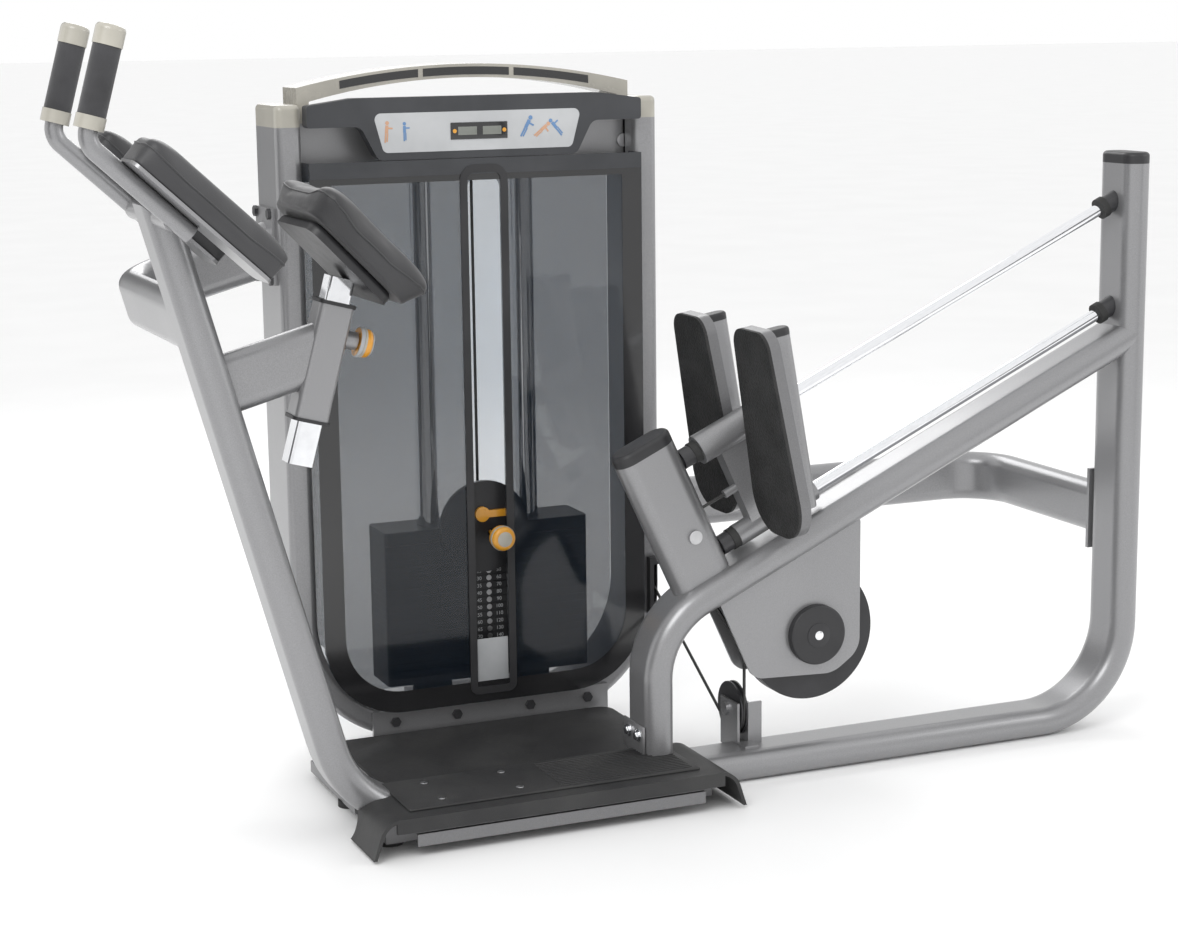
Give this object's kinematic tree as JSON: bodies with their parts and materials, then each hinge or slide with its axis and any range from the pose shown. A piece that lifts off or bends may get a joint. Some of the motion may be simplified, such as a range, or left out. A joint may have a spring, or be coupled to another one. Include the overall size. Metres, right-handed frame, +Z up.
{
  "type": "standing rear-kick gym machine",
  "caption": "Standing glute machine: two foot plates on an inclined slide pull a cable over a cam wheel and lift a shrouded weight stack; forearm pads, grips and a sliding chest pad.",
  "frame": {"origin": "centre of the bounding box on the floor", "axes": "+X from the hand grips towards the rear upright, +Y from the open side towards the weight tower, +Z up"},
  "size_m": [2.1291, 0.792, 1.4343],
  "materials": {
    "silver_paint": "satin metallic",
    "dark_paint": "satin",
    "plate_grey": "satin",
    "chrome": "polished",
    "black_plastic": "matte",
    "cream_plastic": "satin",
    "black_rubber": "matte",
    "grip_foam": "matte",
    "upholstery": "matte",
    "steel": "turned",
    "cable": "satin",
    "smoked_panel": "gloss",
    "stack_black": "satin",
    "placard_face": "satin",
    "pulley_black": "satin",
    "yellow_plastic": "satin"
  },
  "bodies": {
    "frame": {"user_upright": "silver_paint", "base_rail": "silver_paint", "rear_upright": "silver_paint", "incline_rail": "silver_paint", "front_post": "silver_paint", "tube_end_caps": "black_plastic", "left_brace": "silver_paint", "right_brace": "silver_paint", "frame_bolts": "dark_paint", "floor_bars": "dark_paint", "rubber_feet": "black_rubber", "front_platform": "black_rubber", "rear_platform": "black_rubber", "handle_frame": "silver_paint", "hand_grips": "grip_foam", "grip_collars": "cream_plastic", "arm_pad_left": "upholstery", "arm_pad_right": "upholstery", "chest_arm": "silver_paint", "chest_sleeve": "silver_paint", "sleeve_bushes": "black_plastic", "slide_rods": "chrome", "rubber_bumpers": "black_rubber", "rod_fittings": "dark_paint", "cam_side_plates": "silver_paint", "pulley_axles": "steel", "drive_guards": "black_plastic", "pulley_bracket": "silver_paint", "tower_column_left": "silver_paint", "tower_column_right": "silver_paint", "tower_beams": "silver_paint", "column_caps": "cream_plastic", "top_arch": "cream_plastic", "bezel": "black_plastic", "placard": "placard_face", "front_shroud": "smoked_panel", "rear_shroud": "smoked_panel", "stack_guide_rods": "chrome", "resting_plates": "stack_black", "drive_cables": "cable"},
    "carriage": {"carriage_frame": "silver_paint", "foot_plates": "plate_grey", "foot_pads": "black_rubber", "back_post_caps": "black_plastic", "carriage_cable": "cable"},
    "cam": {"cam_wheel": "pulley_black"},
    "post_sheave": {"post_pulley": "pulley_black"},
    "base_sheave": {"base_pulley": "pulley_black"},
    "column_sheave": {"column_pulley": "pulley_black"},
    "top_left_sheave": {"top_pulley_left": "pulley_black"},
    "top_right_sheave": {"top_pulley_right": "pulley_black"},
    "lifted_stack": {"stack_top_plate": "stack_black", "add_on_disc": "black_plastic", "stack_cable": "cable"},
    "pin": {"selector_pin": "yellow_plastic"},
    "lever": {"add_on_lever": "yellow_plastic"},
    "chest": {"chest_post": "chrome", "chest_pad_shell": "black_plastic", "chest_pad": "upholstery"},
    "knob": {"pull_knob": "yellow_plastic"}
  },
  "joints": [
    {"name": "carriage_slide", "type": "slide", "parent": "frame", "child": "carriage", "axis": [0.9063, 0, 0.4226], "range_m": [0, 0.65], "deforming": ["carriage_cable"]},
    {"name": "cam_spin", "type": "hinge", "parent": "frame", "child": "cam", "pos_m": [0.314, -0.169, 0.272], "axis": [0, 1, 0], "range_deg": [-2, 295.25]},
    {"name": "post_sheave_spin", "type": "hinge", "parent": "frame", "child": "post_sheave", "pos_m": [0.06504, -0.178, 0.4826], "axis": [0, 1, 0], "range_deg": [-2, 1097.36]},
    {"name": "base_sheave_spin", "type": "hinge", "parent": "frame", "child": "base_sheave", "pos_m": [0.187, -0.112, 0.117], "axis": [1, 0, 0], "range_deg": [-777.88, 2]},
    {"name": "column_sheave_spin", "type": "hinge", "parent": "frame", "child": "column_sheave", "pos_m": [0.187, 0.289, 0.34], "axis": [1, 0, 0], "range_deg": [-1165.82, 2]},
    {"name": "top_left_sheave_spin", "type": "hinge", "parent": "frame", "child": "top_left_sheave", "pos_m": [-0.129, 0.321, 1.19], "axis": [0, 1, 0], "range_deg": [-2, 933.06]},
    {"name": "top_right_sheave_spin", "type": "hinge", "parent": "frame", "child": "top_right_sheave", "pos_m": [0.147, 0.321, 1.19], "axis": [0, 1, 0], "range_deg": [-2, 933.06]},
    {"name": "stack_lift", "type": "slide", "parent": "frame", "child": "lifted_stack", "axis": [0, 0, 1], "range_m": [0, 0.65], "deforming": ["stack_cable"]},
    {"name": "pin_pull", "type": "slide", "parent": "lifted_stack", "child": "pin", "axis": [0, -1, 0], "range_m": [0, 0.06]},
    {"name": "lever_turn", "type": "hinge", "parent": "lifted_stack", "child": "lever", "pos_m": [-0.19, 0.257, 0.4676], "axis": [0, 1, 0], "range_deg": [-60, 0]},
    {"name": "chest_pad_height", "type": "slide", "parent": "frame", "child": "chest", "axis": [0.2639, 0, 0.9646], "range_m": [-0.01, 0.07]},
    {"name": "knob_pull", "type": "slide", "parent": "frame", "child": "knob", "axis": [0.9646, 0, -0.2639], "range_m": [0, 0.01], "stiffness_N_per_m": 600, "springref_m": -0.002}
  ],
  "couplings": [
    {"joint": "cam_spin", "follows": "carriage_slide", "rad_per_m": 7.874},
    {"joint": "post_sheave_spin", "follows": "carriage_slide", "rad_per_m": 29.412},
    {"joint": "base_sheave_spin", "follows": "carriage_slide", "rad_per_m": -20.833},
    {"joint": "column_sheave_spin", "follows": "carriage_slide", "rad_per_m": -31.25},
    {"joint": "top_left_sheave_spin", "follows": "carriage_slide", "rad_per_m": 25},
    {"joint": "top_right_sheave_spin", "follows": "carriage_slide", "rad_per_m": 25},
    {"joint": "stack_lift", "follows": "carriage_slide", "ratio": 1}
  ]
}
